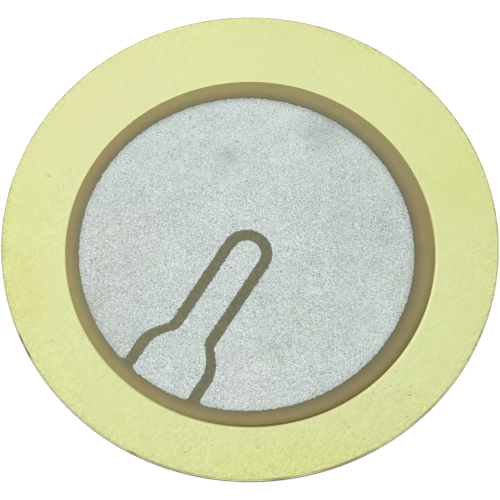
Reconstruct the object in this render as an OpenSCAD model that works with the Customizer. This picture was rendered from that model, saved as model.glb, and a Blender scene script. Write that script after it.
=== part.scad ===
// Three-terminal piezo disc: a brass diaphragm with a silvered piezoelectric
// ceramic bonded to its front. The front print is split into a main electrode
// and a feedback electrode, a tongue that runs in from the print's rim.
// Millimetres. Origin: centre of the plate's rear face. +Z: the print side.

/* [Brass plate] */
// Diameter of the punched plate
plate_d = 27; // [22:0.1:40]
// Thickness of the plate
plate_t = 0.30; // [0.14:0.01:0.6]
// Radius that punching rolls onto the plate's front edge
edge_roll = 0.06; // [0.02:0.01:0.14]

/* [Ceramic disc] */
// Diameter of the ceramic
ceramic_d = 20; // [18.8:0.1:25.6]
// Thickness of the ceramic
ceramic_t = 0.21; // [0.14:0.01:0.6]
// Radius that tumbling leaves on the ceramic's front edge
edge_break = 0.03; // [0.01:0.01:0.04]
// Placing of the ceramic on the plate, along X
ceramic_x = 0.01; // [-0.5:0.01:0.5]
// Placing of the ceramic on the plate, along Y
ceramic_y = -0.41; // [-0.5:0.01:0.5]

/* [Bond] */
// Thickness of the adhesive between the plate and the rear electrode
bond_t = 0.01; // [0.005:0.005:0.05]
// Width and height of the bead squeezed out round the ceramic's foot
bead_w = 0.12; // [0.06:0.01:0.18]
// Angle at which the bead's hollow face meets the plate and the ceramic's wall
bead_angle = 15; // [5:1:30]

/* [Silver prints] */
// Thickness of each fired silver film
silver_t = 0.01; // [0.005:0.005:0.03]
// Bare margin between the rear electrode and the ceramic's edge
rear_margin = 0.3; // [0.1:0.05:2]
// Diameter of the front print
print_d = 18.2; // [17:0.1:19.4]
// Placing of the front print on the ceramic, along X
print_x = -0.19; // [-0.3:0.01:0.3]
// Placing of the front print on the ceramic, along Y
print_y = -0.08; // [-0.3:0.01:0.3]
// Direction in which the tongue points, anticlockwise from +X
tongue_angle = 58; // [0:1:359]
// Width of the bare gap between the two front electrodes
gap = 0.60; // [0.2:0.02:1]

/* [Feedback tongue] */
// Width of the tongue's stem, whose round tip is centred on the print
stem_w = 1.58; // [0.8:0.02:2.2]
// Width of the tongue's foot at the rim
foot_w = 3.5; // [2.9:0.05:4.4]
// Distance from the print's centre at which the stem begins to widen
neck_x = 5.6; // [3:0.1:6.4]
// Angle at which the stem widens into the foot
flare = 40; // [30:1:50]
// Radius where the stem turns out into the flare
neck_r = 0.6; // [0.2:0.1:2]
// Radius where the flare turns back into the foot
shoulder_r = 2; // [0.5:0.1:3]
// Radius of the print's corners where the gap meets its rim
corner_r = 0.25; // [0.05:0.05:0.4]

/* [Hidden] */
$fn = 180;

plate_r = plate_d / 2;
ceramic_r = ceramic_d / 2;
rear_r = ceramic_r - rear_margin;
print_r = print_d / 2;

// How far the centre of the bead's hollow face stands off from both the plate
// and the ceramic's wall, and the radius of that face
bead_off = bead_w / (1 - tan(bead_angle));
bead_r = bead_off / cos(bead_angle);

// Heights of the stack, from the plate's rear face up
rear_z = plate_t + bond_t;
ceramic_z = rear_z + silver_t;
print_z = ceramic_z + ceramic_t;

// Length past the rim to which cutting shapes run, and their overlap
past = 1;
lap = 0.1;
// Growth of a corner's arc, so that it crosses the edges it blends cleanly
kiss = 0.0005;

// A disc whose front edge is rounded, as half of its section
module disc_section(r, t, edge) {
    square([r - edge, t]);
    square([r, t - edge]);
    translate([r - edge, t - edge]) circle(edge);
}

// Half of the bond's section: a film that seats the rear electrode, closed
// round it against the ceramic, with a hollow bead up the ceramic's wall
module bond_section() {
    difference() {
        polygon([
            [0, plate_t],
            [ceramic_r + bead_off, plate_t],
            [ceramic_r + bead_off, plate_t + bead_off],
            [ceramic_r, plate_t + bead_off],
            [ceramic_r, ceramic_z],
            [rear_r, ceramic_z],
            [rear_r, rear_z],
            [0, rear_z]
        ]);
        translate([ceramic_r + bead_off, plate_t + bead_off]) circle(bead_r);
    }
}

// Moves what stands on the ceramic to the ceramic's place on the plate
module on_ceramic() {
    translate([ceramic_x, ceramic_y, 0]) children();
}

// Moves a front electrode to the print's place, with the tongue's axis turned
module on_print() {
    on_ceramic()
        translate([print_x, print_y, print_z])
            rotate([0, 0, tongue_angle]) children();
}

// Area between two lines that meet at the origin and the arc of radius r that
// joins them. The first line runs along +X, the second at 180 - turn degrees.
// The area laps over the far side of both lines.
module corner_web(turn, r) {
    run = r * tan(turn / 2);
    second = [-cos(turn), sin(turn)];
    difference() {
        polygon([
            [run, -lap],
            [run, r],
            run * second,
            run * second - lap * [sin(turn), cos(turn)],
            -lap * [tan(turn / 2), 1]
        ]);
        translate([run, r]) circle(r + kiss);
    }
}

// Upper side of the keyhole outline, from the tip's centre at the origin to
// the foot that runs out along -X
module half_keyhole(stem, foot) {
    foot_x = neck_x + (foot - stem) / tan(flare);
    far_x = print_r + past;
    difference() {
        union() {
            polygon([
                [0, -lap], [0, stem], [-neck_x, stem],
                [-foot_x, foot], [-far_x, foot], [-far_x, -lap]
            ]);
            translate([-neck_x, stem]) corner_web(flare, neck_r);
        }
        translate([-foot_x, foot]) rotate(180) corner_web(flare, shoulder_r);
    }
}

// The keyhole outline, widened across its axis by the given amount on each
// side: the tongue itself at 0, and its cut-out at the gap's width
module keyhole(widen) {
    stem = stem_w / 2 + widen;
    foot = foot_w / 2 + widen;
    circle(stem);
    half_keyhole(stem, foot);
    mirror([0, 1]) half_keyhole(stem, foot);
}

// Waste outside a rounded corner between the print's rim and a gap edge at
// height y. The electrode lies above the edge for side 1, below it for -1.
module rim_waste(y, side) {
    centre = [-sqrt(pow(print_r - corner_r, 2) - pow(y + side * corner_r, 2)), y + side * corner_r];
    on_rim = centre * print_r / (print_r - corner_r);
    difference() {
        polygon([
            centre,
            [centre[0], y - side * lap],
            [-print_r - lap, y - side * lap],
            on_rim * (1 + lap / print_r)
        ]);
        translate(centre) circle(corner_r + kiss);
    }
}

// Rim waste at the gap edge and at its mirror image below the tongue's axis
module rim_wastes(y, side) {
    rim_waste(y, side);
    mirror([0, 1]) rim_waste(y, side);
}

module brass_plate() {
    color([0.86, 0.87, 0.60])
        rotate_extrude() disc_section(plate_r, plate_t, edge_roll);
}

module adhesive_layer() {
    color([0.88, 0.84, 0.62])
        on_ceramic() rotate_extrude() bond_section();
}

module rear_electrode() {
    color([0.74, 0.76, 0.73])
        on_ceramic()
            translate([0, 0, rear_z]) cylinder(r = rear_r, h = silver_t);
}

module ceramic_disc() {
    color([0.56, 0.51, 0.37])
        on_ceramic()
            translate([0, 0, ceramic_z])
                rotate_extrude() disc_section(ceramic_r, ceramic_t, edge_break);
}

module main_electrode() {
    color([0.77, 0.80, 0.77])
        on_print()
            linear_extrude(silver_t)
                difference() {
                    circle(print_r);
                    keyhole(gap);
                    rim_wastes(foot_w / 2 + gap, 1);
                }
}

module feedback_electrode() {
    color([0.79, 0.82, 0.79])
        on_print()
            linear_extrude(silver_t)
                difference() {
                    intersection() {
                        circle(print_r);
                        keyhole(0);
                    }
                    rim_wastes(foot_w / 2, -1);
                }
}

brass_plate();
adhesive_layer();
rear_electrode();
ceramic_disc();
main_electrode();
feedback_electrode();
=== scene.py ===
"""Dresses a bare three-terminal piezo disc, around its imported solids.

The disc lies flat, print side up. From the floor up it is a punched brass
plate, a film of adhesive, the rear silver, the ceramic, and the front silver,
which is printed as a main electrode and a feedback tongue. Finishes give
lengths in millimetres, and all else gives them in metres.
"""

import logging
import math
import random
from collections.abc import Callable, Iterable, Mapping, Sequence
from dataclasses import dataclass, field, replace
from enum import Enum
from typing import Any

import bpy
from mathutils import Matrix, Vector, noise
from mathutils.geometry import delaunay_2d_cdt


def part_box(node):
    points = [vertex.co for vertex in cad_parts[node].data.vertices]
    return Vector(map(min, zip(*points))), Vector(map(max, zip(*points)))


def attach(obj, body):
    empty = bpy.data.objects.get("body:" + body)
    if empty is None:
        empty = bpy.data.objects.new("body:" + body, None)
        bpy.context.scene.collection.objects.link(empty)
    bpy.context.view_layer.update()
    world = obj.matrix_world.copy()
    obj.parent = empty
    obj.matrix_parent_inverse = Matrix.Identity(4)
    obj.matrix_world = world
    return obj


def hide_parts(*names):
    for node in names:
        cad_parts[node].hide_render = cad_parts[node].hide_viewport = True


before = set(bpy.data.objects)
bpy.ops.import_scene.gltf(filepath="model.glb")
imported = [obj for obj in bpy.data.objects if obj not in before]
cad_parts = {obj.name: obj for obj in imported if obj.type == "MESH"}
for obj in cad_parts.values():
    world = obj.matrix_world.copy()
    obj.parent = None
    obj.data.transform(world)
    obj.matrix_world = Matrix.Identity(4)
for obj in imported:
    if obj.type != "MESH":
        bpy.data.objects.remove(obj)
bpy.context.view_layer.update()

LOG = logging.getLogger("piezo_disc")
MM = 0.001
BODY = "root"
WEAR = "wear"
RELIEF = "relief"

Colour = tuple[float, float, float]
Spot = tuple[float, float]
CREASE = math.radians(35.0)
WELD = 1e-7
HALF = (0.5, 0.5, 0.5)
ORIGIN: Spot = (0.0, 0.0)
UPPER_RIGHT: Spot = (0.5, 0.87)
LOWER_RIGHT: Spot = (0.6, -0.8)


class Node(Enum):
    """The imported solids, by the name of their node."""

    PLATE = "brass_plate"
    BOND = "adhesive_layer"
    REAR = "rear_electrode"
    CERAMIC = "ceramic_disc"
    MAIN = "main_electrode"
    FEEDBACK = "feedback_electrode"


class Face(Enum):
    """The two faces of the plate, by the way that each looks."""

    REAR = -1
    FRONT = 1


# Node graphs


def math_method(operation: str, reflected: bool = False) -> Callable[["Wire", Any], "Wire"]:
    """Makes the method of one operator.

    Args:
        operation: The Math node that the operator adds.
        reflected: Whether the wire is the operator's right-hand term.

    Returns:
        The method.
    """

    def method(self: "Wire", other: Any) -> "Wire":
        """Returns the two terms' result."""
        return self.math(operation, *((other, self) if reflected else (self, other)))

    return method


@dataclass(frozen=True)
class Wire:
    """One output socket. Arithmetic on it adds Math nodes to its graph."""

    graph: "Graph"
    socket: bpy.types.NodeSocket

    def math(self, operation: str, *terms: Any) -> "Wire":
        """Adds a Math node with these terms, as wires or numbers."""
        return self.graph.node("ShaderNodeMath", {"operation": operation}, dict(enumerate(terms)))

    __add__, __radd__ = math_method("ADD"), math_method("ADD", True)
    __sub__, __rsub__ = math_method("SUBTRACT"), math_method("SUBTRACT", True)
    __mul__, __rmul__ = math_method("MULTIPLY"), math_method("MULTIPLY", True)
    __truediv__, __rtruediv__ = math_method("DIVIDE"), math_method("DIVIDE", True)
    __pow__, __gt__ = math_method("POWER"), math_method("GREATER_THAN")

    def ramp(self, low: float, high: float) -> "Wire":
        """Rises smoothly from 0 to 1 as self goes from low to high. Low may be the greater."""
        ends = {"Value": self, "From Min": low, "From Max": high}
        return self.graph.node("ShaderNodeMapRange", {"interpolation_type": "SMOOTHSTEP"}, ends)


class Graph:
    """Adds nodes to the tree of a material or of a geometry group."""

    def __init__(self, tree: bpy.types.NodeTree) -> None:
        """Takes over a tree and empties it."""
        self.tree = tree
        tree.nodes.clear()

    def node(
        self,
        kind: str,
        settings: Mapping[str, Any] | None = None,
        inputs: Mapping[int | str, Any] | None = None,
        output: int | str = 0,
    ) -> Wire:
        """Adds one node.

        Args:
            kind: The node's type.
            settings: Its properties, which are set first.
            inputs: A value or a wire for each socket, by name or number.
            output: The output that is wanted, by name or number.

        Returns:
            The wire of that output.
        """
        node = self.tree.nodes.new(kind)
        for name, value in (settings or {}).items():
            setattr(node, name, value)
        for key, value in (inputs or {}).items():
            if isinstance(value, Wire):
                self.tree.links.new(value.socket, node.inputs[key])
            elif value is not None:
                node.inputs[key].default_value = value
        return Wire(self, node.outputs[output] if len(node.outputs) else None)

    def vector(self, operation: str, *terms: Any, output: int | str = 0) -> Wire:
        """Adds a Vector Math node with these terms."""
        settings = {"operation": operation}
        return self.node("ShaderNodeVectorMath", settings, dict(enumerate(terms)), output)

    def scaled(self, vector: Any, factor: Any) -> Wire:
        """Returns a vector or a colour times a number."""
        settings = {"operation": "SCALE"}
        return self.node("ShaderNodeVectorMath", settings, {0: vector, "Scale": factor})

    def noise(
        self, at: Wire, scale: float, detail: float = 2.0, seed: Any = 0.0, output: str = "Fac"
    ) -> Wire:
        """Adds noise from 0 to 1, as one number or, from its "Color", as three."""
        sockets = {"Vector": at, "W": seed, "Scale": scale, "Detail": detail}
        return self.node("ShaderNodeTexNoise", {"noise_dimensions": "4D"}, sockets, output)

    def streaks(self, at: Wire, waves: Any, detail: float, seed: Any) -> Wire:
        """Returns a noise that has its own number of waves along each axis."""
        return self.noise(self.vector("MULTIPLY", at, waves), 1.0, detail, seed)

    def cells(self, at: Wire, scale: float, output: str) -> Wire:
        """Returns the "Color" or the "Distance" of flat Voronoi cells."""
        sockets = {"Vector": at, "Scale": scale}
        return self.node("ShaderNodeTexVoronoi", {"voronoi_dimensions": "2D"}, sockets, output)

    def mix(self, first: Any, second: Any, share: Any, blend: str = "MIX") -> Wire:
        """Mixes two colours.

        Args:
            first: The colour at share 0, as a wire or (red, green, blue).
            second: The colour at share 1.
            share: How much of the second, as a wire or a number.
            blend: The way in which they mix.

        Returns:
            The mixed colour.
        """
        settings = {"data_type": "RGBA", "blend_type": blend}
        first, second = (c if isinstance(c, Wire) else (*c, 1.0) for c in (first, second))
        sockets = {"Factor": share, 6: first, 7: second}
        return self.node("ShaderNodeMix", settings, sockets, 2)

    def tinted(self, colour: Any, first: Any, second: Any, share: Any) -> Wire:
        """Returns a colour times a mix of two tints."""
        return self.mix(colour, self.mix(first, second, share), 1.0, "MULTIPLY")

    def split(self, vector: Wire) -> tuple[Wire, Wire, Wire]:
        """Returns a vector's three parts."""
        parts = self.node("ShaderNodeSeparateXYZ", inputs={0: vector}).socket.node.outputs
        return tuple(Wire(self, part) for part in parts)

    def bump(self, height: Wire, depth: float, under: Wire | None = None) -> Wire:
        """Adds a bump of a depth in metres, over the normal of another if there is one."""
        return self.node("ShaderNodeBump", inputs={"Height": height, "Distance": depth, "Normal": under})


# Finishes


@dataclass(frozen=True)
class Cloud:
    """A soft patch about x and y, which fades out at its reach and tints what it lies on."""

    x: float
    y: float
    reach: float
    tint: Colour


class Surface(Graph):
    """A material's graph, with the place on the object at hand."""

    def __init__(self, tree: bpy.types.NodeTree) -> None:
        """Takes over a material's tree.

        Args:
            tree: The material's node tree.
        """
        super().__init__(tree)
        self.place = self.scaled(self.node("ShaderNodeTexCoord", output="Object"), 1 / MM)
        self.x, self.y, self.z = self.split(self.place)

    def grain(self, scale: float, detail: float, seed: float) -> Wire:
        """Returns noise at the place."""
        return self.noise(self.place, scale, detail, seed)

    def wear(self) -> Wire:
        """Returns how worn or soiled the mesh is marked."""
        return self.node("ShaderNodeAttribute", {"attribute_name": WEAR}, output="Fac")

    def away(self, middle: Spot) -> Wire:
        """Returns how far the place lies from a middle, seen from above."""
        across, along = self.x - middle[0], self.y - middle[1]
        return (across * across + along * along) ** 0.5

    def towards(self, heading: Spot) -> Wire:
        """Returns how far the place lies in a direction, seen from above."""
        return heading[0] * self.x + heading[1] * self.y

    def uphill(self) -> Wire:
        """Rises from 0 to 1 towards the upper right, from a little before the middle."""
        return self.towards(UPPER_RIGHT).ramp(-2.0, 6.0)

    def painted_light_side(self, reach: float) -> Wire:
        """Rises from 0 to 1 towards the lower right, where painted shade and painted highlights are laid
        strongest.
        """
        return self.towards(LOWER_RIGHT).ramp(0.35 * reach, 0.95 * reach)

    def clouded(self, colour: Any, clouds: Iterable[Cloud]) -> Wire:
        """Lays soft patches with frayed outlines over a colour.

        Args:
            colour: The colour under them.
            clouds: The patches.

        Returns:
            The colour with its patches.
        """
        drift = self.vector("SUBTRACT", self.noise(self.place, 0.8, 3.0, 2.0, "Color"), HALF)
        for cloud in clouds:
            frayed = self.vector("ADD", self.place, self.scaled(drift, 0.8 * cloud.reach))
            away = self.vector("DISTANCE", frayed, (cloud.x, cloud.y, 0.4), output="Value")
            colour = self.mix(colour, cloud.tint, away.ramp(cloud.reach, 0.0), "MULTIPLY")
        return colour


@dataclass(frozen=True)
class Finish:
    """A finish that makes one material. Subclasses paint it."""

    name: str

    def paint(self, graph: Surface) -> dict[str, Any]:
        """Returns a value or a wire for each socket of the surface's shader, by name."""
        raise NotImplementedError

    def material(self) -> bpy.types.Material:
        """Makes the material.

        Returns:
            A new material with this finish.
        """
        material = bpy.data.materials.new(self.name)
        material.use_nodes = True
        graph = Surface(material.node_tree)
        surface = graph.node("ShaderNodeBsdfPrincipled", inputs=self.paint(graph))
        graph.node("ShaderNodeOutputMaterial", inputs={"Surface": surface})
        return material


@dataclass(frozen=True)
class SheetBrass(Finish):
    """Bare rolled brass sheet with a punched edge."""

    colour: Colour = (0.665, 0.69, 0.345)
    burnished: Colour = (0.67, 0.68, 0.36)  # The punched edge's smooth upper band
    torn_and_shadowed: Colour = (0.05, 0.047, 0.014)  # Its broken lower band, raised and darkened further as painted contact shadow
    soil: Colour = (0.16, 0.145, 0.06)  # What lies in its pits
    brink_dark: Colour = (0.26, 0.24, 0.1)  # The dark line on the brink of its edge
    pale: Colour = (0.992, 1.008, 1.015)  # The tint of its inner part, round the ceramic
    handled: Colour = (0.987, 0.998, 0.955)  # The tint of its outer part
    bead_highlight: Colour = (1.34, 1.23, 1.32)  # The tint of a painted highlight: a fine bright line along the adhesive bead
    roll_angle: float = 52.0  # The way in which it was rolled, in degrees from +X
    edge_radius: float = 13.5
    bead_middle: Spot = ORIGIN
    bead_reach: float = 10.12
    pitted: Spot = (6.8, -9.8)  # The middle of its most pitted part
    clouds: tuple[Cloud, ...] = (
        Cloud(-8.3, 8.8, 9.0, (1.0, 0.965, 1.045)),
        Cloud(-12.6, 2.2, 2.6, (0.985, 0.985, 0.92)),
        Cloud(1.5, 12.0, 5.0, (0.98, 0.976, 1.0)),
        Cloud(8.5, -6.5, 7.0, (1.003, 1.018, 1.03)),
        Cloud(-1.0, -12.5, 4.5, (1.005, 1.01, 0.99)),
        Cloud(-12.2, -1.4, 2.1, (1.0, 0.96, 0.84)),
        Cloud(-12.1, -3.4, 2.1, (0.995, 0.955, 0.84)),
        Cloud(11.2, 3.8, 3.4, (0.955, 0.985, 0.83)),
        Cloud(9.2, 7.0, 3.0, (0.985, 1.0, 0.93)),
        Cloud(-0.4, -12.7, 2.4, (0.99, 1.005, 0.9)),
        Cloud(2.2, -12.5, 2.6, (0.985, 1.005, 0.87)),
        Cloud(4.6, -11.9, 2.2, (1.0, 0.99, 0.9)),
        Cloud(-13.7, 0.0, 1.0, (0.86, 0.85, 0.76)),
        Cloud(5.9, 12.5, 1.9, (0.95, 0.945, 0.9)),
    )
    # Dark stretches of its edge.
    dark_stretches: tuple[Cloud, ...] = (
        Cloud(-12.3, -5.35, 0.55, (0.1, 0.1, 0.1)),
        Cloud(-11.95, -6.1, 0.65, (0.1, 0.1, 0.1)),
        Cloud(-6.3, -11.9, 0.6, (0.35, 0.33, 0.3)),
        Cloud(1.6, -13.4, 1.2, (0.45, 0.43, 0.35)),
        Cloud(9.9, 9.1, 0.9, (0.6, 0.58, 0.5)),
        Cloud(5.2, -12.5, 3.4, (0.5, 0.48, 0.4)),
        Cloud(9.6, -9.5, 2.8, (0.68, 0.66, 0.56)),
        Cloud(-4.2, -12.8, 3.0, (0.75, 0.73, 0.66)),
    )

    def paint(self, graph: Surface) -> dict[str, Any]:
        """Paints rolling marks, a dark line on the brink, soiled pits and the punched edge, with painted
        light beside the adhesive bead and painted contact shadow low on the wall.

        Args:
            graph: The material's graph.

        Returns:
            What each socket of the shader takes, by name.
        """
        turn = {"Vector": graph.place, "Rotation": (0.0, 0.0, -math.radians(self.roll_angle))}
        along = graph.node("ShaderNodeMapping", {"vector_type": "POINT"}, turn)
        fine = graph.streaks(along, (3.2, 11.5, 11.5), 3.0, 11.0)
        broad = graph.streaks(along, (0.25, 1.4, 1.4), 2.0, 12.0)
        hatch = graph.streaks(along, (1.4, 5.5, 5.5), 1.0, 15.0)
        rake = graph.streaks(graph.place, (9.0, 9.0, 1.2), 2.0, 14.0)
        hue = graph.grain(0.7, 2.0, 16.0)
        speck = graph.grain(12.0, 1.0, 17.0)
        fleck = graph.grain(6.5, 2.0, 20.0)
        grime = graph.wear()
        x, y, z = graph.x, graph.y, graph.z
        radius = graph.away(ORIGIN)

        def band(start: float, end: float) -> Wire:
            """Rises from 0 to 1 between two distances in from the punched edge."""
            return radius.ramp(self.edge_radius - start, self.edge_radius - end)

        # The rolling marks, strongest where the sheet is most worn.
        worn = graph.grain(0.35, 3.0, 13.0) + 0.0008 * x * x - 0.008 * x - 0.012 * y
        calm = (0.5 * y - 0.866 * x).ramp(10.4, 11.6)
        marks = (fine + 0.55 * speck - 0.775) * (0.35 + 0.65 * worn.ramp(0.45, 0.85)) * (1.0 - 0.6 * calm)
        low = y.ramp(-6.0, -10.5) * x.ramp(-6.0, 0.0)
        light = (0.5 + 0.25 * low) * marks + 0.04 * (broad - 0.5) + 0.15 * low * (speck - 0.5)
        light = light + band(0.55, 0.25) * (0.3 * (fleck - 0.5) + 0.4 * (speck - 0.5) - 0.012)
        pitted = graph.away(self.pitted).ramp(4.0, 1.5)
        light = light + pitted * (0.1 * (speck - 0.5) - 0.3 * speck.ramp(0.62, 0.72))

        # The sheet's own tones.
        outer = (radius + 1.6 * (hue - 0.5)).ramp(10.8, 12.8)
        colour = graph.tinted(self.colour, self.pale, self.handled, outer)
        colour = graph.clouded(colour, self.clouds)
        colour = graph.tinted(colour, (1.0, 0.995, 0.975), (0.99, 1.0, 0.995), hue.ramp(0.35, 0.65))
        colour = graph.scaled(colour, 1.0 + light + 0.06 * (hatch - 0.5))

        # Painted light beside the adhesive bead on the front, most of it towards the lower right: a
        # brightening against the bead's dark reflection in the brass, and a fine painted highlight along the
        # bead.
        beside = graph.away(self.bead_middle) - self.bead_reach + 0.03 * (fine - 0.5)
        painted_light_side = z.ramp(0.15, 0.25) * (0.2 + 0.65 * graph.towards(LOWER_RIGHT).ramp(0.0, 10.0))
        colour = graph.scaled(colour, 1.0 + 0.06 * painted_light_side * beside.ramp(0.25, 0.0))
        bead_highlight = graph.mix(colour, self.bead_highlight, 1.0, "MULTIPLY")
        colour = graph.mix(colour, bead_highlight, painted_light_side * beside.ramp(0.07, 0.03))

        # The brink's dark line with its nicks, the soil, and the punched wall, whose torn lower band is
        # partly painted contact shadow.
        dashes = graph.grain(3.5, 3.0, 18.0).ramp(0.42, 0.62)
        stretches = graph.grain(0.45, 1.0, 19.0).ramp(0.35, 0.6)
        line = band(0.12, 0.05) * (0.12 + 0.55 * dashes * stretches) * (1.0 - 0.8 * y.ramp(-5.0, -9.0))
        nicks = graph.grain(7.0, 1.0, 24.0).ramp(0.5, 0.66) * band(0.3, 0.2) * band(0.05, 0.11)
        uphill = graph.towards(UPPER_RIGHT)
        sides = (-1.0 * x).ramp(12.2, 13.0) + 0.3 * uphill.ramp(12.2, 13.0)
        sides = sides + 0.5 * (-1.0 * uphill).ramp(12.2, 13.0)
        colour = graph.mix(colour, self.brink_dark, line + 0.3 * nicks * sides)
        colour = graph.mix(colour, self.soil, grime)
        wall = band(0.06, 0.025) * z.ramp(0.285, 0.25)
        # The torn band: real fracture, reaching higher up the wall as painted contact shadow.
        tear_and_shadow = (z + 0.1 * (rake - 0.5)).ramp(0.17, 0.11)
        edge = graph.scaled(graph.mix(self.burnished, self.torn_and_shadowed, tear_and_shadow), 0.8 + 0.4 * rake)
        colour = graph.mix(colour, edge, wall)
        darkened_stretches = graph.clouded(colour, self.dark_stretches)
        return {
            "Base Color": graph.mix(colour, darkened_stretches, band(0.09, 0.04)),
            "Metallic": 1.0 - 0.5 * grime - 0.7 * wall * tear_and_shadow,
            "Roughness": 0.38 + 0.08 * marks + 0.2 * wall * tear_and_shadow + 0.2 * grime,
            "Normal": graph.bump(marks, 0.006 * MM),
        }


@dataclass(frozen=True)
class FiredSilver(Finish):
    """Screen-printed silver paste, fired on: matt, grainy and a little uneven."""

    colour: Colour = (0.794, 0.872, 0.841)
    thin: Colour = (0.16, 0.165, 0.1)  # The colour of its edge, where the paste thins away
    top: float = 0.54  # The height of the film's upper face
    depth: float = 0.01  # The film's thickness
    middle: Spot = ORIGIN  # The middle of the whole round print
    reach: float = 9.0  # The radius of the whole round print
    seed: float = 0.0
    clouds: tuple[Cloud, ...] = (
        Cloud(4.1, 6.8, 1.9, (0.81, 0.82, 0.83)),
        Cloud(-7.4, -0.4, 4.2, (0.995, 0.955, 0.945)),
        Cloud(-6.8, -5.2, 2.2, (0.93, 0.92, 0.9)),
        Cloud(8.4, -2.3, 2.0, (0.96, 0.96, 0.95)),
        Cloud(-8.4, -3.6, 1.5, (0.9, 0.85, 0.8)),
        Cloud(3.5, -4.0, 6.0, (0.965, 0.985, 0.965)),
        Cloud(4.2, 1.2, 2.6, (0.96, 0.965, 0.965)),
        Cloud(7.0, 0.8, 4.2, (0.92, 0.935, 0.92)),
        Cloud(5.6, 3.6, 4.2, (0.955, 0.97, 0.96)),
        Cloud(-3.6, -6.6, 2.2, (0.99, 1.005, 0.985)),
        Cloud(0.8, 6.8, 4.5, (1.03, 1.03, 1.02)),
        Cloud(0.2, -8.2, 3.6, (1.05, 1.025, 1.01)),
        Cloud(-1.2, 5.35, 1.2, (0.88, 0.885, 0.88)),
        Cloud(-7.7, -2.5, 0.9, (0.92, 0.92, 0.92)),
        Cloud(1.4, -5.9, 1.5, (0.93, 0.935, 0.93)),
        Cloud(7.46, -4.2, 0.3, (0.85, 0.75, 0.65)),
    )

    def paint(self, graph: Surface) -> dict[str, Any]:
        """Paints the paste's flakes and grain, its dark pores, soft patches and thin edge.

        Args:
            graph: The material's graph.

        Returns:
            What each socket of the shader takes, by name.
        """
        spot = graph.vector("ADD", graph.place, (31.0 * self.seed, 17.0 * self.seed, 0.0))
        flake, tone, _ = graph.split(graph.cells(spot, 34.0, "Color"))
        beads = graph.cells(spot, 12.5, "Distance")
        grain = graph.grain(14.0, 2.0, self.seed + 21.0)
        clump = graph.grain(3.0, 2.0, self.seed + 22.0)
        pores = graph.grain(6.0, 1.0, self.seed + 23.0).ramp(0.62, 0.74)
        blotch = graph.grain(0.8, 3.0, self.seed + 24.0)
        rough = 0.7 + 0.6 * graph.grain(0.5, 2.0, self.seed + 25.0)
        patch = graph.grain(1.1, 3.0, self.seed + 26.0).ramp(0.38, 0.62)
        light = (0.66 - 0.3 * graph.y.ramp(1.0, 6.0)) * (0.5 - flake) + 0.34 * (0.42 - beads)
        light = 0.87 + (light + 0.1 * (grain - 0.5)) * rough
        light = light + 0.14 * (clump - 0.5) + 0.2 * (blotch - 0.5)

        edge = graph.z.ramp(self.top, self.top - 0.9 * self.depth)
        out = graph.away(self.middle)
        uphill = graph.uphill()
        sheer = out.ramp(self.reach - 0.4, self.reach - 0.2) * (1.0 - uphill)
        frayed = 0.45 * (grain - 0.5) + 0.2 * (clump - 0.5)
        rim = (out + frayed).ramp(self.reach - 0.35, self.reach) * (0.5 + 0.5 * uphill)
        colour = graph.clouded(self.colour, self.clouds)
        colour = graph.tinted(colour, (1.015, 0.995, 0.965), (0.98, 1.0, 1.03), tone)
        colour = graph.tinted(colour, (0.99, 1.0, 0.985), (1.005, 0.995, 1.01), patch)
        colour = graph.scaled(colour, light * (1.0 - 0.3 * pores))
        colour = graph.mix(colour, self.thin, 0.3 * rim)
        return {
            "Base Color": graph.mix(colour, self.thin, edge * (0.85 - 0.5 * sheer)),
            "Metallic": 0.8 - 0.5 * edge,
            "Roughness": 0.5 + 0.2 * flake,
            "Normal": graph.bump(flake, 0.002 * MM, graph.bump(grain, 0.006 * MM)),
        }


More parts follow.
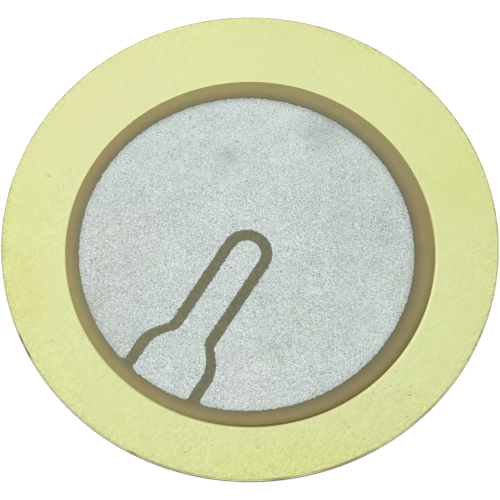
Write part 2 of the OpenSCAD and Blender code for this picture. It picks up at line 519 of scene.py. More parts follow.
@dataclass(frozen=True)
class SinteredCeramic(Finish):
    """Unglazed piezoelectric ceramic."""

    middle: Spot = ORIGIN
    reach: float = 10.0
    top: float = 0.53
    print_middle: Spot = ORIGIN
    print_reach: float = 9.0
    colour: Colour = (0.368, 0.309, 0.14)  # The colour of its margin
    shaded: Colour = (0.255, 0.228, 0.12)  # The margin beside the print, darker: painted shade where the silver keeps light out of the ceramic
    fringe: Colour = (0.17, 0.17, 0.1)  # The margin's dark line along the print
    brim: Colour = (0.36, 0.32, 0.113)  # The margin's outer edge, lighter: painted light thrown up from the brass beside it
    stained: Colour = (0.177, 0.189, 0.112)  # The darker colour within the print's outline
    worn: Colour = (0.228, 0.226, 0.131)  # The lighter colour there
    wall: Colour = (0.36, 0.31, 0.12)
    foot: Colour = (0.16, 0.12, 0.028)  # The wall and the outer margin towards the lower right, darker: painted shade on the side turned from the light
    cool: Colour = (0.975, 1.01, 0.995)  # The tint of its greener mottles
    warm: Colour = (1.04, 0.98, 0.955)  # The tint of its browner mottles
    fresh: Colour = (0.45, 0.39, 0.18)  # The colour of a chip
    clouds: tuple[Cloud, ...] = (
        # The broad patches darken the lower right and lighten the rest: painted shade and painted light. The
        # small ones are tones and stains.
        Cloud(9.0, -6.5, 15.0, (0.82, 0.83, 0.85)),
        Cloud(-8.5, -4.5, 6.5, (1.1, 1.11, 1.04)),
        Cloud(-7.0, 7.0, 5.0, (1.01, 0.965, 0.965)),
        Cloud(-4.0, 9.5, 9.0, (1.06, 1.08, 1.0)),
        Cloud(5.08, -9.15, 0.3, (1.2, 0.62, 0.5)),
        Cloud(-5.6, -8.4, 1.4, (1.04, 0.95, 0.9)),
        Cloud(-9.9, 0.0, 1.6, (1.02, 0.97, 0.92)),
        Cloud(9.8, 1.5, 1.2, (1.04, 0.96, 0.9)),
        Cloud(5.5, 8.5, 8.0, (1.0, 1.04, 1.03)),
        Cloud(9.5, -2.0, 3.0, (1.06, 1.06, 1.03)),
    )

    def paint(self, graph: Surface) -> dict[str, Any]:
        """Paints the sintered grain, the margin's tones, the wall and fresh chips, with painted shade beside
        the print and towards the lower right, and painted light on the margin's outer band and away from the
        lower right.

        Args:
            graph: The material's graph.

        Returns:
            What each socket of the shader takes, by name.
        """
        grain = graph.grain(18.0, 2.0, 31.0)
        haze = graph.grain(0.9, 2.0, 32.0)
        mottle = graph.grain(2.6, 3.0, 33.0)
        patch = graph.grain(4.0, 2.0, 34.0).ramp(0.38, 0.62)
        from_print = graph.away(self.print_middle) + 0.08 * (haze - 0.5)
        from_middle = graph.away(self.middle) + 0.1 * (haze - 0.5)
        uphill = graph.uphill()
        painted_light_side = graph.painted_light_side(self.reach)

        # Painted shade beside the print, where the silver keeps light out of the ceramic.
        beside = from_print.ramp(self.print_reach + 0.6, self.print_reach - 0.02)
        colour = graph.mix(self.colour, self.shaded, beside * (1.0 + 0.3 * uphill))
        # Painted light on the margin's outer band.
        colour = graph.mix(colour, self.brim, from_middle.ramp(self.reach - 0.35, self.reach - 0.05))
        near = from_print.ramp(self.print_reach + 0.17, self.print_reach + 0.04)
        colour = graph.mix(colour, self.fringe, (0.3 + 0.45 * uphill) * near * (0.6 + 0.8 * mottle))
        # Painted shade on the outer margin towards the lower right.
        brink = painted_light_side * from_middle.ramp(self.reach - 0.3, self.reach)
        colour = graph.mix(colour, self.foot, 0.45 * brink)
        within = from_print.ramp(self.print_reach + 0.05, self.print_reach - 0.1)
        colour = graph.mix(colour, graph.mix(self.stained, self.worn, patch), within)
        colour = graph.tinted(colour, self.cool, self.warm, mottle.ramp(0.38, 0.62))
        # Painted shade on the wall towards the lower right, deepest low down.
        sunk = graph.z.ramp(self.top - 0.02, self.top - 0.12)
        wall = graph.mix(self.wall, self.foot, painted_light_side * (0.6 + 0.4 * sunk))
        colour = graph.mix(colour, wall, graph.z.ramp(self.top - 0.035, self.top - 0.055))
        colour = graph.mix(colour, self.fresh, graph.wear())
        colour = graph.clouded(colour, self.clouds)
        return {
            "Base Color": graph.scaled(colour, 0.79 + 0.18 * grain + 0.12 * haze + 0.12 * mottle),
            "Roughness": 0.4 + 0.15 * grain,
            "Specular IOR Level": 0.25,
            "Normal": graph.bump(grain, 0.002 * MM),
        }


@dataclass(frozen=True)
class CuredEpoxy(Finish):
    """A clear adhesive bead, with painted shade in its hollow and a thin painted highlight on its lip over
    the brass.
    """

    middle: Spot = ORIGIN
    inner: float = 10.0  # The bead's inner radius
    width: float = 0.12
    lip: Colour = (0.98, 0.91, 0.53)  # The bead's thin outer lip, bright as a painted highlight
    plain: Colour = (0.72, 0.74, 0.39)  # The lip away from the lower right, where its painted highlight is weaker
    # The hollow, a little darker than the brass: painted shade
    hollow: Colour = (0.6, 0.58, 0.28)
    stained: Colour = (0.24, 0.185, 0.04)  # The hollow towards the lower right, where its painted shade is darkest

    def paint(self, graph: Surface) -> dict[str, Any]:
        """Paints the lip's painted highlight and the hollow's painted shade, both strongest towards the lower
        right.

        Args:
            graph: The material's graph.

        Returns:
            What each socket of the shader takes, by name.
        """
        haze = graph.grain(1.5, 3.0, 41.0)
        out = graph.away(self.middle) - self.inner + 0.2 * self.width * (haze - 0.5)
        lip = out.ramp(0.25 * self.width, 0.42 * self.width)
        painted_light_side = graph.painted_light_side(self.inner)
        # Painted shade in the hollow and painted highlight on the lip, both strongest towards the lower
        # right.
        hollow = graph.mix(self.hollow, self.stained, painted_light_side)
        return {
            "Base Color": graph.mix(hollow, graph.mix(self.plain, self.lip, painted_light_side), lip),
            "Metallic": lip,
            "Roughness": 0.3 + 0.15 * haze,
            "Normal": graph.bump(haze, 0.004 * MM),
        }


@dataclass(frozen=True)
class PaleFloor(Finish):
    """The floor that the disc lies on."""

    def paint(self, graph: Surface) -> dict[str, Any]:
        """Paints a plain pale matt sheet.

        Args:
            graph: The material's graph.

        Returns:
            What each socket of the shader takes, by name.
        """
        tone = graph.grain(0.02, 1.0, 51.0)
        return {
            "Base Color": graph.scaled((0.9, 0.9, 0.9), 0.99 + 0.02 * tone),
            "Roughness": 0.9,
            "Emission Color": (1.0, 1.0, 1.0, 1.0),
            "Emission Strength": 0.55,
        }


# Geometry nodes


class Recipe:
    """A geometry node group with named inputs, run once on a piece."""

    def __init__(self, name: str, inputs: Mapping[str, str]) -> None:
        """Makes the group and its sockets.

        Args:
            name: The group's name.
            inputs: The kind of each named input, such as "Float".
        """
        self.tree = bpy.data.node_groups.new(name, "GeometryNodeTree")
        self.graph = Graph(self.tree)
        new_socket = self.tree.interface.new_socket
        new_socket("Geometry", in_out="OUTPUT", socket_type="NodeSocketGeometry")
        for key, kind in {"Geometry": "Geometry", **inputs, "Material": "Material"}.items():
            new_socket(key, in_out="INPUT", socket_type="NodeSocket" + kind)
        source = self.tree.nodes.new("NodeGroupInput")
        self.inputs = {s.name: Wire(self.graph, s) for s in source.outputs if s.name}

    def step(
        self,
        kind: str,
        inputs: Mapping[str, Any] | None = None,
        settings: Mapping[str, Any] | None = None,
        output: int | str = 0,
    ) -> Wire:
        """Adds a node of the geometry kind and returns the wire of its output."""
        return self.graph.node("GeometryNode" + kind, settings, inputs, output)

    def moved(self, geometry: Wire, offset: Wire, selection: Wire | None = None) -> Wire:
        """Returns geometry with its points, or those of a selection, moved."""
        return self.step("SetPosition", {"Geometry": geometry, "Selection": selection, "Offset": offset})

    def close(self, geometry: Wire) -> None:
        """Ends the tree.

        Args:
            geometry: What it has made, which is dressed in the piece's material.
        """
        real = self.step("RealizeInstances", {"Geometry": geometry})
        dressed = self.step("SetMaterial", {"Geometry": real, "Material": self.inputs["Material"]})
        sink = self.tree.nodes.new("NodeGroupOutput")
        self.tree.links.new(dressed.socket, sink.inputs[0])

    def run(self, piece: bpy.types.Object, values: Mapping[str, Any]) -> None:
        """Runs the group on a piece and keeps the result as its plain mesh.

        Args:
            piece: The mesh object to work on.
            values: A value for each named input.
        """
        modifier = piece.modifiers.new(self.tree.name, "NODES")
        modifier.node_group = self.tree
        for item in self.tree.interface.items_tree:
            if item.in_out == "INPUT" and item.name in values:
                modifier[item.identifier] = values[item.name]
        depsgraph = bpy.context.evaluated_depsgraph_get()
        result = bpy.data.meshes.new_from_object(piece.evaluated_get(depsgraph), depsgraph=depsgraph)
        piece.modifiers.remove(modifier)
        result.name = piece.name
        piece.data = result


class PrintRecipe(Recipe):
    """Prints a flat film inside the outline of a solid's top face.

    The outline is laid again at an even pitch, eased at its corners and
    roughened, as a screen leaves it, then filled and given its thickness. Its
    upper face stands in from its foot, so that the film thins at its edge.
    """

    def __init__(self) -> None:
        """Builds the tree."""
        kinds = {"Pitch": "Float", "Easing": "Int", "Ragged": "Float", "Mesh Size": "Float"}
        super().__init__("screen_print", {**kinds, "Slope": "Float", "Seed": "Int"})
        graph, given, step = self.graph, self.inputs, self.step
        vectors = {"data_type": "FLOAT_VECTOR"}
        points = {"domain": "POINT"}
        solid = step("MergeByDistance", {"Geometry": given["Geometry"], "Distance": WELD})
        box = step("BoundBox", {"Geometry": solid}).socket.node.outputs
        low, high = (graph.split(Wire(graph, box[corner]))[2] for corner in ("Min", "Max"))

        # The outline, with the way that each point looks kept as its side.
        place, normal = step("InputPosition"), step("InputNormal")
        bend = step("InputMeshEdgeAngle", output="Unsigned Angle")
        top = graph.split(place)[2] > low * 0.3 + high * 0.7
        outline = step("MeshToCurve", {"Mesh": solid, "Selection": top * (bend > 0.8)})
        outline = step("ResampleCurve", {"Curve": outline, "Length": given["Pitch"]}, {"mode": "LENGTH"})
        eased = step("BlurAttribute", {"Value": place, "Iterations": given["Easing"]}, vectors)
        outline = step("SetPosition", {"Geometry": outline, "Position": eased})
        side = {"Geometry": outline, "Name": "side", "Value": normal}
        outline = step("StoreNamedAttribute", side, {**vectors, **points})
        sway = graph.scaled(place, 1.0 / given["Mesh Size"])
        sway = graph.vector("SUBTRACT", graph.noise(sway, 1.0, 2.0, given["Seed"], "Color"), HALF)
        sway = graph.vector("MULTIPLY", graph.scaled(sway, given["Ragged"]), (1.0, 1.0, 0.0))
        outline = self.moved(outline, sway)

        # The film, raised from the solid's foot to its top.
        film = step("FillCurve", {"Curve": outline}, {"mode": "TRIANGLES"})
        film = self.moved(film, graph.node("ShaderNodeCombineXYZ", inputs={"Z": low}))
        depth = graph.node("ShaderNodeCombineXYZ", inputs={"Z": high - low})
        raised = {"Mesh": film, "Offset": depth, "Offset Scale": 1.0, "Individual": False}
        raised = step("ExtrudeMesh", raised, {"mode": "FACES"})
        upper = Wire(graph, raised.socket.node.outputs["Top"])

        # The upper face's points, moved inwards along the side of the outline's nearest point.
        wire = step("CurveToMesh", {"Curve": outline})
        nearest = step("SampleNearest", {"Geometry": wire}, points)
        side = step("InputNamedAttribute", {"Name": "side"}, vectors)
        side = step("SampleIndex", {"Geometry": wire, "Value": side, "Index": nearest}, {**vectors, **points})
        facing = graph.vector("DOT_PRODUCT", side, normal, output="Value")
        facing = {"Geometry": raised, "Selection": upper, "Attribute": facing}
        outward = step("AttributeStatistic", facing, points, "Mean") > 0.0
        inset = graph.scaled(side, (1.0 - 2.0 * outward) * given["Slope"])
        raised = self.moved(raised, inset, upper)
        whole = step("JoinGeometry", {"Geometry": raised})
        under = step("FlipFaces", {"Mesh": film})
        self.tree.links.new(under.socket, whole.socket.node.inputs[0])
        self.close(step("MergeByDistance", {"Geometry": whole, "Distance": WELD}))


class ReliefRecipe(Recipe):
    """Roughens a turned piece's wall, inwards only, where its relief is marked."""

    def __init__(self) -> None:
        """Builds the tree."""
        kinds = {"Centre": "Vector", "Depth": "Float", "Pitch": "Float", "Run": "Float", "Seed": "Int"}
        super().__init__("wall_relief", kinds)
        graph, given = self.graph, self.inputs
        place = self.step("InputPosition")
        waves = {"X": 1.0 / given["Pitch"], "Y": 1.0 / given["Pitch"], "Z": 1.0 / given["Run"]}
        waves = graph.node("ShaderNodeCombineXYZ", inputs=waves)
        rough = graph.streaks(place, waves, 2.0, given["Seed"])
        share = self.step("InputNamedAttribute", {"Name": RELIEF}, {"data_type": "FLOAT"})
        outward = graph.vector("SUBTRACT", place, given["Centre"])
        outward = graph.vector("NORMALIZE", graph.vector("MULTIPLY", outward, (1.0, 1.0, 0.0)))
        inset = graph.scaled(outward, -1.0 * given["Depth"] * rough * share)
        self.close(self.moved(given["Geometry"], inset))


# Meshes


def quarter(steps: int) -> list[tuple[float, float]]:
    """Returns 1 - cosine and 1 - sine after each step of a quarter turn, from its start."""
    tilts = [math.pi / 2 * step / steps for step in range(steps + 1)]
    return [(1.0 - math.cos(tilt), 1.0 - math.sin(tilt)) for tilt in tilts]


@dataclass
class MeshPlan:
    """Vertices, faces and marks of a mesh that is being laid out, in metres."""

    points: list[tuple[float, float, float]] = field(default_factory=list)
    faces: list[Sequence[int]] = field(default_factory=list)
    wear: list[float] = field(default_factory=list)
    relief: list[float] = field(default_factory=list)

    def add(self, point: tuple[float, float, float], wear: float = 0.0, relief: float = 0.0) -> int:
        """Adds a vertex.

        Args:
            point: Its place.
            wear: How worn or soiled it is, from 0 to 1.
            relief: How far a wall's relief reaches it, from 0 to 1.

        Returns:
            Its number.
        """
        self.points.append(point)
        self.wear.append(wear)
        self.relief.append(relief)
        return len(self.points) - 1

    def build(self, name: str) -> bpy.types.Object:
        """Makes the mesh, smooth but for its creases.

        Args:
            name: The mesh's and the object's name.

        Returns:
            Its object, at the origin.
        """
        mesh = bpy.data.meshes.new(name)
        mesh.from_pydata(self.points, [], self.faces)
        for key, values in ((WEAR, self.wear), (RELIEF, self.relief)):
            mesh.attributes.new(key, "FLOAT", "POINT").data.foreach_set("value", values)
        mesh.validate()
        mesh.shade_smooth()
        mesh.set_sharp_from_angle(angle=CREASE)
        return place_object(name, mesh)


def place_object(name: str, data: Any) -> bpy.types.Object:
    """Puts something in the scene.

    Args:
        name: The object's name.
        data: Its mesh, light or camera.

    Returns:
        The object.
    """
    thing = bpy.data.objects.new(name, data)
    bpy.context.scene.collection.objects.link(thing)
    return thing


@dataclass(frozen=True)
class Pit:
    """A small dent or scratch in the sheet, with soil in it."""

    x: float
    y: float
    reach: float  # Half its width
    depth: float
    stretch: float = 1.0  # How many times longer than wide it is
    turn: float = 0.0  # The angle of its length, in radians from +X
    soil: float = 0.7  # How dark its middle is, from 0 to 1

    def in_metres(self) -> "Pit":
        """Returns a pit that was given in millimetres in metres."""
        x, y, reach, depth = (size * MM for size in (self.x, self.y, self.reach, self.depth))
        return replace(self, x=x, y=y, reach=reach, depth=depth)

    def share(self, x: float, y: float) -> float:
        """Works out how deep in the pit a place is.

        Args:
            x: The place, across.
            y: The place, along.

        Returns:
            Its share of the pit's depth, from 0 at the rim to 1.
        """
        across, up = x - self.x, y - self.y
        length = (across * math.cos(self.turn) + up * math.sin(self.turn)) / self.stretch
        width = up * math.cos(self.turn) - across * math.sin(self.turn)
        away = math.hypot(length, width) / self.reach
        return max(0.0, 1.0 - away * away)

    def points(self) -> Iterable[tuple[float, float]]:
        """Lays rings of points over the bowl and round it.

        Returns:
            The place of each point, one after another.
        """
        yield self.x, self.y
        for ring, count in ((0.4, 6), (0.75, 9), (1.05, 12), (1.5, 12)):
            for step in range(count):
                angle = math.tau * step / count
                length = ring * self.reach * self.stretch * math.cos(angle)
                width = ring * self.reach * math.sin(angle)
                yield (
                    self.x + length * math.cos(self.turn) - width * math.sin(self.turn),
                    self.y + length * math.sin(self.turn) + width * math.cos(self.turn),
                )


@dataclass
class Piece:
    """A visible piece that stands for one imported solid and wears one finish."""

    node: Node
    finish: Finish

    def box(self) -> tuple[Vector, Vector]:
        """Returns the solid's lowest and highest corners."""
        low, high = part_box(self.node.value)
        return Vector(low), Vector(high)

    def centre(self) -> Vector:
        """Returns the middle of the solid's foot."""
        low, high = self.box()
        return Vector(((low.x + high.x) / 2, (low.y + high.y) / 2, low.z))

    def radius(self) -> float:
        """Returns half of the solid's width."""
        low, high = self.box()
        return (high.x - low.x) / 2

    def middle(self) -> Spot:
        """Returns the solid's middle as a finish takes it."""
        return self.centre().x / MM, self.centre().y / MM

    def reach(self) -> float:
        """Returns the solid's radius as a finish takes it."""
        return self.radius() / MM

    def fit(self, **sizes: Any) -> None:
        """Gives the finish its sizes."""
        self.finish = replace(self.finish, **sizes)

    def model(self) -> bpy.types.Object:
        """Builds the piece's mesh. Subclasses do it."""
        raise NotImplementedError

    def make(self) -> None:
        """Builds the piece, ties it to the frame and reports it."""
        piece = self.model()
        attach(piece, BODY)
        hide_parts(self.node.value)
        LOG.info("%s stands for %s: %d faces", piece.name, self.node.value, len(piece.data.polygons))


@dataclass(frozen=True)
class Relief:
    """A wall's roughness: how far in it goes, and the width and the height of its marks."""

    depth: float
    pitch: float
    run: float
    seed: int


@dataclass
class Turned(Piece):
    """A round piece made by turning a section about its own axis."""

    turns: int = 2160  # How many facets it has round its edge
    plan: MeshPlan = field(default_factory=MeshPlan)
    # The vertices of its rings, from the rear face round to the front.
    rings: list[list[int]] = field(default_factory=list)

    def ring(self, radius: Any, height: Any, wear: Any = 0.0, relief: float = 0.0) -> None:
        """Adds one ring of vertices about the piece's axis.

        Args:
            radius: Its radius, a number or a function of the angle.
            height: Its height, likewise.
            wear: Its wear, likewise.
            relief: How far the wall's relief reaches it.
        """
        centre = self.centre()
        numbers = []
        for step in range(self.turns):
            turn = math.tau * step / self.turns
            r, z, w = (v(turn) if callable(v) else v for v in (radius, height, wear))
            point = (centre.x + r * math.cos(turn), centre.y + r * math.sin(turn), z)
            numbers.append(self.plan.add(point, w, relief))
        self.rings.append(numbers)

    def wall(self, radius: float, foot: float, top: float, rows: int) -> None:
        """Adds the rings of an upright wall, which the relief reaches."""
        for row in range(rows + 1):
            self.ring(radius, foot + (top - foot) * row / rows, relief=1.0)

    def skin(self) -> None:
        """Joins each ring to the next, with faces that look out when they rise."""
        for lower, upper in zip(self.rings, self.rings[1:]):
            for step in range(self.turns):
                after = (step + 1) % self.turns
                self.plan.faces.append((lower[step], lower[after], upper[after], upper[step]))

    def capped(self, name: str) -> bpy.types.Object:
        """Joins the rings and closes both ends flat.

        Args:
            name: The piece's name.

        Returns:
            The piece's object.
        """
        self.skin()
        self.plan.faces += [self.rings[-1], self.rings[0][::-1]]
        return self.plan.build(name)

    def roughen(self, piece: bpy.types.Object, relief: Relief) -> bpy.types.Object:
        """Dresses a piece and roughens its wall.

        Args:
            piece: The piece's object.
            relief: How rough the wall is.

        Returns:
            The same object.
        """
        values = {"Centre": self.centre(), "Depth": relief.depth, "Pitch": relief.pitch, "Run": relief.run}
        ReliefRecipe().run(piece, {**values, "Seed": relief.seed, "Material": self.finish.material()})
        return piece

    @staticmethod
    def wander(turn: float, waves: float, seed: float) -> float:
        """Returns a smooth closed wobble round the edge, from -1 to 1."""
        spot = Vector((waves * math.cos(turn), waves * math.sin(turn), seed))
        return max(-1.0, min(1.0, noise.noise(spot) * 1.6))


@dataclass
class Diaphragm(Turned):
    """The plate: rolled sheet, pitted in places, punched with a rolled-over front edge."""

    roll: float = 0.075 * MM  # How far in punching rolls the front edge over
    drop: float = 0.04 * MM  # How far down it rolls it over
    burr: float = 0.012 * MM  # How far the rear edge is drawn in under the burr
    # The larger marks on the front face. Their lengths are in millimetres.
    scars: tuple[Pit, ...] = (
        Pit(8.98, 9.5, 0.024, 0.005, 6.0, 0.2, 0.5),
        Pit(7.6, -8.05, 0.042, 0.012, soil=1.0),
        Pit(8.65, -8.1, 0.045, 0.012, soil=0.8),
        Pit(8.6, -8.6, 0.032, 0.008, 5.0, 0.1, 0.9),
        Pit(8.45, -9.85, 0.045, 0.012, soil=1.0),
        Pit(5.6, -10.95, 0.04, 0.01, soil=0.9),
        Pit(9.1, -9.1, 0.035, 0.008, soil=0.4),
        Pit(7.75, -9.25, 0.035, 0.008, soil=0.4),
        Pit(3.05, -12.2, 0.028, 0.006, 4.0, 0.1, 0.5),
        Pit(1.05, -12.7, 0.06, 0.004, 1.5, 1.2, 0.35),
        Pit(-1.15, -10.9, 0.04, 0.008, soil=0.35),
        Pit(-3.5, -11.9, 0.042, 0.012, soil=0.9),
        Pit(-10.05, -6.9, 0.04, 0.01, soil=0.5),
        Pit(-10.12, 3.53, 0.035, 0.01, soil=0.9),
    )
    pit_count: int = 34
    pit_sizes: Spot = (0.022, 0.055)  # The least and the most of half a pit's width, in millimetres
    pit_gap: float = 0.5 * MM  # The least distance between two pits
    grid: float = 1.2 * MM  # The spacing of the points that the flat faces are drawn through
    wall_rows: int = 9
    roll_rows: int = 6
    shear: Relief = Relief(0.02 * MM, 0.07 * MM, 0.5 * MM, 5)

    def model(self) -> bpy.types.Object:
        """Builds the edge, closes both faces and cuts the wall's shear marks.

        Returns:
            The piece's object.
        """
        low, high = self.box()
        radius = self.radius()
        self.ring(radius - 4 * self.burr, low.z)
        self.ring(radius - self.burr, low.z)
        self.wall(radius, low.z + self.burr, high.z - self.drop, self.wall_rows)
        for inset, below in quarter(self.roll_rows)[1:]:
            self.ring(lambda turn: radius - self.roll_at(turn) * inset, high.z - self.drop * below)
        self.ring(lambda turn: radius - 1.3 * self.roll_at(turn), high.z)
        self.skin()
        self.close(self.rings[0], low.z, Face.REAR)
        self.close(self.rings[-1], high.z, Face.FRONT)
        return self.roughen(self.plan.build("punched_diaphragm"), self.shear)

    def roll_at(self, turn: float) -> float:
        """Returns the width of the rolled-over edge at an angle, which wavers."""
        return self.roll * (1.0 + 0.22 * self.wander(turn, 9.0, 3.0) + 0.2 * self.wander(turn, 60.0, 4.0))

    def pits(self, face: Face) -> list[Pit]:
        """Scatters pits over the bare part of a face.

        Args:
            face: The face. The front has its scars too, and its upper part stays smooth.

        Returns:
            The face's pits, in metres.
        """
        dice = random.Random(70 + face.value)
        bond = Piece(Node.BOND, self.finish)
        middle = bond.centre().xy
        inner, nearest, found = 0.0, 0.3, []
        if face is Face.FRONT:
            inner, nearest = bond.radius() + 0.2 * MM, 0.55
            found = [s.in_metres() for s in self.scars]
        while len(found) < self.pit_count:
            turn = dice.choice((dice.gauss(-0.85, 0.35), dice.uniform(0.0, math.tau)))
            away = self.radius() * math.sqrt(dice.uniform(nearest, 0.96))
            x, y = away * math.cos(turn), away * math.sin(turn)
            reach = dice.uniform(*self.pit_sizes) * MM
            stretch = 1.0 + 3.0 * dice.random() ** 4
            clash = any(math.hypot(x - p.x, y - p.y) < self.pit_gap for p in found)
            smooth = face is Face.FRONT and y > -0.5 * x
            if math.hypot(x - middle.x, y - middle.y) > inner and not clash and not smooth:
                soil = dice.uniform(0.2, 0.7)
                found.append(Pit(x, y, reach, reach * 0.25, stretch, dice.gauss(0.3, 0.5), soil))
        return found

    def close(self, rim: Sequence[int], height: float, face: Face) -> None:
        """Fills a flat face inside its rim, dented by its pits.

        Args:
            rim: The ring that bounds the face.
            height: The face's height.
            face: Which face it is.
        """
        pits = self.pits(face)
        places = [Vector(self.plan.points[number][:2]) / MM for number in rim]
        steps = math.floor(self.radius() / self.grid)
        for column in range(-steps, steps + 1):
            for row in range(-steps, steps + 1):
                spot = Vector((column, row)) * self.grid
                near = any((spot - Vector((p.x, p.y))).length < 2 * p.reach * p.stretch for p in pits)
                if spot.length < self.radius() - self.grid and not near:
                    places.append(spot / MM)
        for pit in pits:
            places += [Vector(spot) / MM for spot in pit.points()]
        count = len(rim)
        edges = [(k, (k + 1) % count) for k in range(count)]
        verts, _, triangles, sources, _, _ = delaunay_2d_cdt(places, edges, [], 1, WELD)
        numbers = []
        for spot, source in zip(verts, sources):
            if source and source[0] < count:
                numbers.append(rim[source[0]])
                continue
            x, y = spot * MM
            share = max((pit.share(x, y) * pit.soil for pit in pits), default=0.0)
            deep = max((pit.share(x, y) * pit.depth for pit in pits), default=0.0)
            numbers.append(self.plan.add((x, y, height - face.value * deep), share))
        for triangle in triangles:
            self.plan.faces.append([numbers[k] for k in triangle[:: face.value]])


@dataclass
class CeramicDisc(Turned):
    """The ceramic: a thin sintered disc with a tumbled, lightly chipped edge."""

    turns: int = 1800
    edge: float = 0.02 * MM  # The radius of its front edge
    crown: float = 0.4 * MM  # How far in from the edge the face begins to fall away
    crown_drop: float = 0.008 * MM  # How far it falls
    chips: int = 22
    bite: float = 0.05 * MM  # How far in the deepest chip goes
    bite_drop: float = 0.01 * MM  # How far down it goes
    foot: float = 0.02 * MM  # The height of the wall's smooth foot
    # How many steps its face, its wall and its front edge are drawn in.
    rows: tuple[int, int, int] = (6, 4, 5)
    grit: Relief = Relief(0.012 * MM, 0.06 * MM, 0.06 * MM, 8)

    def model(self) -> bpy.types.Object:
        """Builds the disc and roughens its wall.

        Returns:
            The piece's object.
        """
        low, high = self.box()
        radius, brim = self.radius(), high.z - self.crown_drop
        dice = random.Random(12)
        chips = [(dice.uniform(0, math.tau), dice.uniform(0.004, 0.012), dice.uniform(0.4, 1.0))
                 for _ in range(self.chips)]

        def chipped(turn: float) -> float:
            """Works out how deep the edge is chipped.

            Args:
                turn: The angle, in radians from +X.

            Returns:
                Its share of the deepest bite, from 0 to 1.
            """
            bite = 0.0
            for middle, width, depth in chips:
                away = abs((turn - middle + math.pi) % math.tau - math.pi) / width
                bite = max(bite, depth * max(0.0, 1.0 - away * away))
            return bite

        face_rows, wall_rows, edge_rows = self.rows
        self.ring(radius - self.edge, low.z)
        self.ring(radius, low.z)
        self.wall(radius, low.z + self.foot, brim - self.edge, wall_rows)
        for inset, below in quarter(edge_rows)[1:-1]:
            self.ring(
                lambda turn: radius - self.edge * inset - self.bite * chipped(turn),
                lambda turn: brim - self.edge * below - self.bite_drop * chipped(turn),
                lambda turn: min(1.0, 2.0 * chipped(turn)),
            )
        for row in range(face_rows + 1):
            share = row / face_rows
            inset = self.edge + (self.crown - self.edge) * share
            bite = 0.0 if row else self.bite
            height = high.z - self.crown_drop * (1.0 - share) ** 2
            self.ring(lambda turn: radius - inset - bite * chipped(turn), height)
        self.ring(radius - 1.5 * self.crown, high.z)
        return self.roughen(self.capped("sintered_ceramic"), self.grit)


@dataclass
class Bond(Turned):
    """The adhesive: a film under the ceramic and the hollow bead round its foot."""

    turns: int = 1440
    bead_rows: int = 6  # How many steps the bead's hollow face is drawn in
    hollow: float = 1.6  # The power that its hollow follows
    mean: float = 0.89  # The bead's mean size, as a share of the widest
    waver: float = 0.1  # How far that share strays

    def model(self) -> bpy.types.Object:
        """Builds the film, its seat for the rear silver and its bead.

        Returns:
            The piece's object.
        """
        low, high = self.box()
        ceramic, rear = (Piece(node, self.finish) for node in (Node.CERAMIC, Node.REAR))
        wall, seat, top = ceramic.radius(), rear.radius(), ceramic.centre().z
        reach, rise = self.radius() - wall, high.z - low.z

        def spread(turn: float) -> float:
            """Returns the bead's size at an angle, as a share of the widest."""
            return self.mean + self.waver * self.wander(turn, 6.0, 9.0)

        self.ring(wall * 0.99, low.z)
        for up, out in quarter(self.bead_rows):
            self.ring(
                lambda turn: wall + reach * out * spread(turn),
                lambda turn: low.z + rise * up ** self.hollow * spread(turn),
            )
        self.ring(wall, top)
        self.ring(seat, top)
        self.ring(seat, rear.centre().z)
        piece = self.capped("adhesive_bead")
        piece.data.materials.append(self.finish.material())
        return piece


@dataclass
class SilverPrint(Piece):
    """A film of fired silver, printed through a screen."""

    title: str
    seed: int
    ragged: float = 0.2 * MM  # How far its outline strays in all
    mesh: float = 0.14 * MM  # The spacing of the screen's threads
    slope: float = 0.025 * MM  # How far the film's upper face stands in from its foot
    pitch: float = 0.03 * MM  # The spacing of the outline's points
    easing: int = 2  # How many times its corners are eased

    def model(self) -> bpy.types.Object:
        """Prints the film inside the solid's outline.

        Returns:
            The piece's object.
        """
        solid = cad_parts[self.node.value]
        piece = place_object(self.title, solid.data.copy())
        low, high = self.box()
        self.fit(top=high.z / MM, depth=(high.z - low.z) / MM)
        values = {"Pitch": self.pitch, "Easing": self.easing, "Ragged": self.ragged}
        values |= {"Mesh Size": self.mesh, "Slope": self.slope, "Seed": self.seed}
        PrintRecipe().run(piece, {**values, "Material": self.finish.material()})
        return piece


# Studio


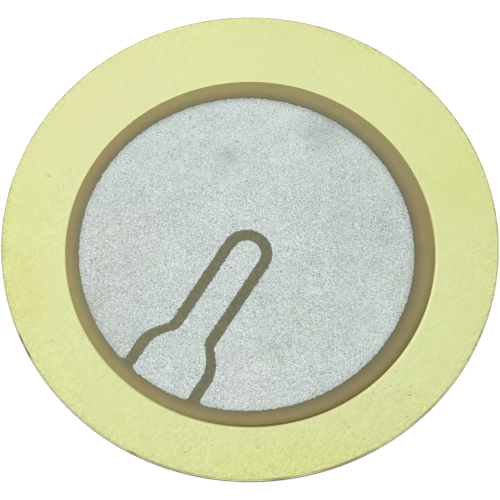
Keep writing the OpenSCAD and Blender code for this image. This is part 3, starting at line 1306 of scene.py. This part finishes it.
@dataclass
class Studio:
    """The floor, the light and the camera."""

    elevation: float = 68.55  # The camera's height above the horizon, in degrees
    distance: float = 0.6
    lens: float = 796.2  # Its focal length, in millimetres
    aim_drop: float = 0.061 * MM  # How far below the disc's middle it aims
    floor_reach: float = 1.5
    floor_depth: float = 0.002 * MM  # How far below the disc the floor lies
    box_size: float = 0.16
    box_power: float = 0.045  # The softbox's power, in watts
    box_place: tuple[float, float, float] = (-0.035, 0.122, 0.22)
    # The sky's strength at the horizon, and how much it gains overhead.
    sky: tuple[float, float] = (0.62, 0.18)

    def camera(self) -> None:
        """Sets the camera up."""
        data = bpy.data.cameras.new("camera")
        data.lens = self.lens
        data.sensor_width = 36.0
        data.clip_start, data.clip_end = 0.01, 10.0
        camera = place_object("camera", data)
        rise = math.radians(self.elevation)
        back = Vector((0.0, -math.cos(rise), math.sin(rise)))
        up = Vector((0.0, math.sin(rise), math.cos(rise)))
        aim = -self.aim_drop * up
        camera.location = aim + back * self.distance
        camera.rotation_mode = "QUATERNION"
        camera.rotation_quaternion = (-back).to_track_quat("-Z", "Y")
        bpy.context.scene.camera = camera

    def floor(self) -> None:
        """Lays the floor under the disc."""
        plan = MeshPlan()
        reach = self.floor_reach
        for x, y in ((-reach, -reach), (reach, -reach), (reach, reach), (-reach, reach)):
            plan.add((x, y, -self.floor_depth))
        plan.faces.append((0, 1, 2, 3))
        floor = plan.build("floor")
        floor.data.materials.append(PaleFloor("pale_floor").material())

    def lights(self) -> None:
        """Hangs one large soft light and fills the rest with an even sky."""
        data = bpy.data.lights.new("softbox", "AREA")
        data.shape, data.size, data.energy = "DISK", self.box_size, self.box_power
        softbox = place_object("softbox", data)
        softbox.location = self.box_place
        softbox.visible_camera = False
        softbox.rotation_mode = "QUATERNION"
        softbox.rotation_quaternion = (-softbox.location).to_track_quat("-Z", "Y")
        world = bpy.data.worlds.new("sky")
        world.use_nodes = True
        graph = Graph(world.node_tree)
        height = graph.split(graph.node("ShaderNodeTexCoord", output="Generated"))[2]
        horizon, gain = self.sky
        level = horizon + gain * height.ramp(0.1, 0.7)
        sky = graph.node("ShaderNodeBackground", inputs={"Color": (1.0, 1.0, 1.0, 1.0), "Strength": level})
        graph.node("ShaderNodeOutputWorld", inputs={"Surface": sky})
        bpy.context.scene.world = world

    def build(self) -> None:
        """Sets up camera, floor and lights, with colours shown as they are."""
        bpy.context.scene.view_settings.view_transform = "Standard"
        self.camera()
        self.floor()
        self.lights()


def main() -> None:
    """Builds the studio and the disc's pieces from the floor up."""
    logging.basicConfig(level=logging.INFO, format="%(name)s: %(message)s")
    Studio().build()
    plate = Diaphragm(Node.PLATE, SheetBrass("rolled_brass"))
    front = SilverPrint(Node.MAIN, FiredSilver("main_fired_silver", seed=1.0), "main_print", 1)
    tongue = SilverPrint(Node.FEEDBACK, FiredSilver("feedback_fired_silver", seed=2.0), "feedback_print", 2)
    rear = SilverPrint(Node.REAR, FiredSilver("rear_fired_silver", seed=3.0), "rear_print", 3)
    ceramic = CeramicDisc(Node.CERAMIC, SinteredCeramic("sintered_ceramic"))
    bond = Bond(Node.BOND, CuredEpoxy("cured_epoxy"))
    for piece, whole in ((front, front), (tongue, front), (rear, rear)):
        piece.fit(middle=whole.middle(), reach=whole.reach())
    ceramic.fit(middle=ceramic.middle(), reach=ceramic.reach(), top=ceramic.box()[1].z / MM)
    ceramic.fit(print_middle=front.middle(), print_reach=front.reach())
    bond.fit(middle=ceramic.middle(), inner=ceramic.reach())
    bond.fit(width=(bond.radius() - ceramic.radius()) / MM)
    plate.fit(edge_radius=plate.reach(), bead_middle=bond.middle(), bead_reach=bond.reach())
    for piece in (plate, bond, rear, ceramic, front, tongue):
        piece.make()


if __name__ == "__main__":
    main()
